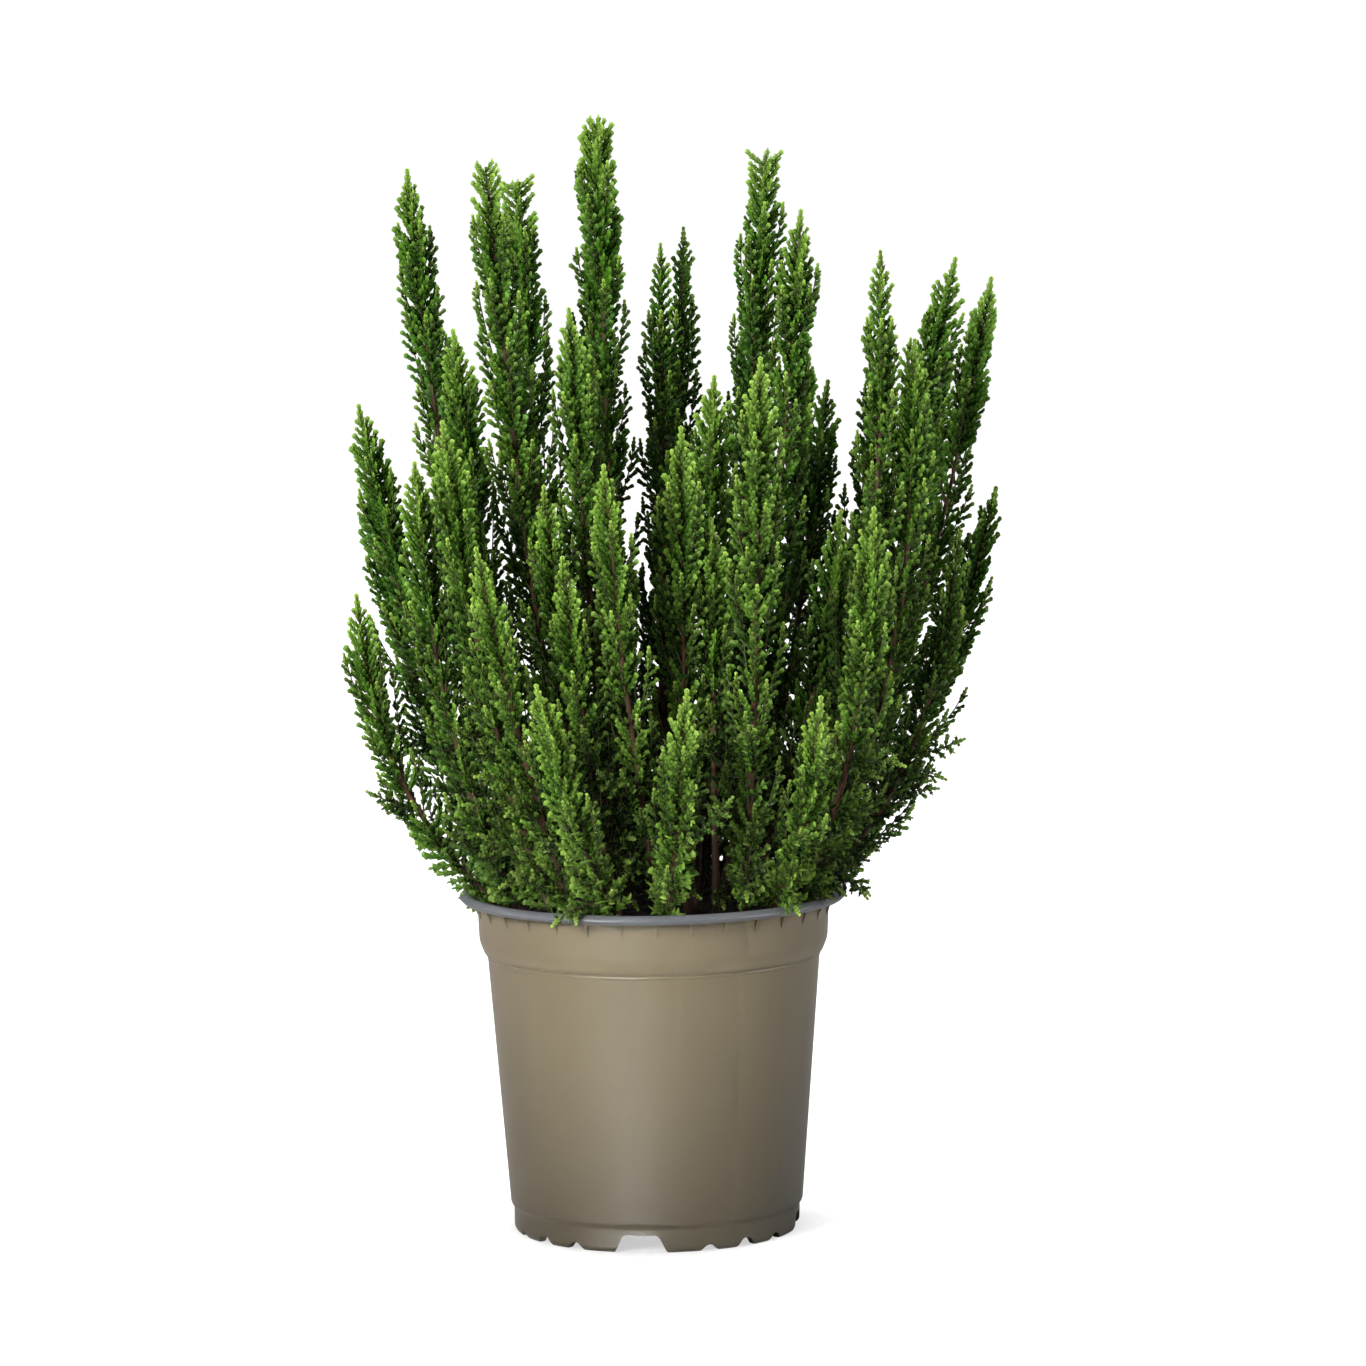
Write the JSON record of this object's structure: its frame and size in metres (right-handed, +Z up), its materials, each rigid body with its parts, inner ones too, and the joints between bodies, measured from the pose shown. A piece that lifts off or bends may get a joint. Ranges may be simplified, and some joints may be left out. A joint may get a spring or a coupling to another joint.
{
  "type": "potted heather",
  "caption": "Bushy evergreen heather out of bloom, with upright leafy spires, growing in a round tapered plastic nursery pot of soil.",
  "frame": {"origin": "on the floor, on the axis of the round pot", "axes": "+Z up along the pot's axis, -Y the pot's front; the picture looks from 10 degrees to the +X side of the front"},
  "size_m": [0.2602, 0.1984, 0.431],
  "materials": {
    "pot_plastic": "taupe moulded plastic with a soft sheen and a grey rim",
    "soil": "dark moist peat compost, crumbly and matt",
    "heather_leaf": "dense scale-like green leaves on thin reddish-brown stems, paler at the tips"
  },
  "bodies": {
    "root": {"pot": "pot_plastic", "soil": "soil", "leafy_stem_01": "heather_leaf", "leafy_stem_02": "heather_leaf", "leafy_stem_03": "heather_leaf", "leafy_stem_04": "heather_leaf", "leafy_stem_05": "heather_leaf", "leafy_stem_06": "heather_leaf", "leafy_stem_07": "heather_leaf", "leafy_stem_08": "heather_leaf", "leafy_stem_09": "heather_leaf", "leafy_stem_10": "heather_leaf", "leafy_stem_11": "heather_leaf", "leafy_stem_12": "heather_leaf", "leafy_stem_13": "heather_leaf", "leafy_stem_14": "heather_leaf", "leafy_stem_15": "heather_leaf", "leafy_stem_16": "heather_leaf", "leafy_stem_17": "heather_leaf", "leafy_stem_18": "heather_leaf", "leafy_stem_19": "heather_leaf", "leafy_stem_20": "heather_leaf", "leafy_stem_21": "heather_leaf", "leafy_stem_22": "heather_leaf", "leafy_stem_23": "heather_leaf", "leafy_stem_24": "heather_leaf", "leafy_stem_25": "heather_leaf", "leafy_stem_26": "heather_leaf", "leafy_stem_27": "heather_leaf", "leafy_stem_28": "heather_leaf", "leafy_stem_29": "heather_leaf", "leafy_stem_30": "heather_leaf", "leafy_stem_31": "heather_leaf", "leafy_stem_32": "heather_leaf", "leafy_stem_33": "heather_leaf", "leafy_stem_34": "heather_leaf", "leafy_stem_35": "heather_leaf", "leafy_stem_36": "heather_leaf", "leafy_stem_37": "heather_leaf", "leafy_stem_38": "heather_leaf", "leafy_stem_39": "heather_leaf", "leafy_stem_40": "heather_leaf", "leafy_stem_41": "heather_leaf", "leafy_stem_42": "heather_leaf", "leafy_stem_43": "heather_leaf", "leafy_stem_44": "heather_leaf", "leafy_stem_45": "heather_leaf", "leafy_stem_46": "heather_leaf", "leafy_stem_47": "heather_leaf", "leafy_stem_48": "heather_leaf"}
  },
  "joints": []
}
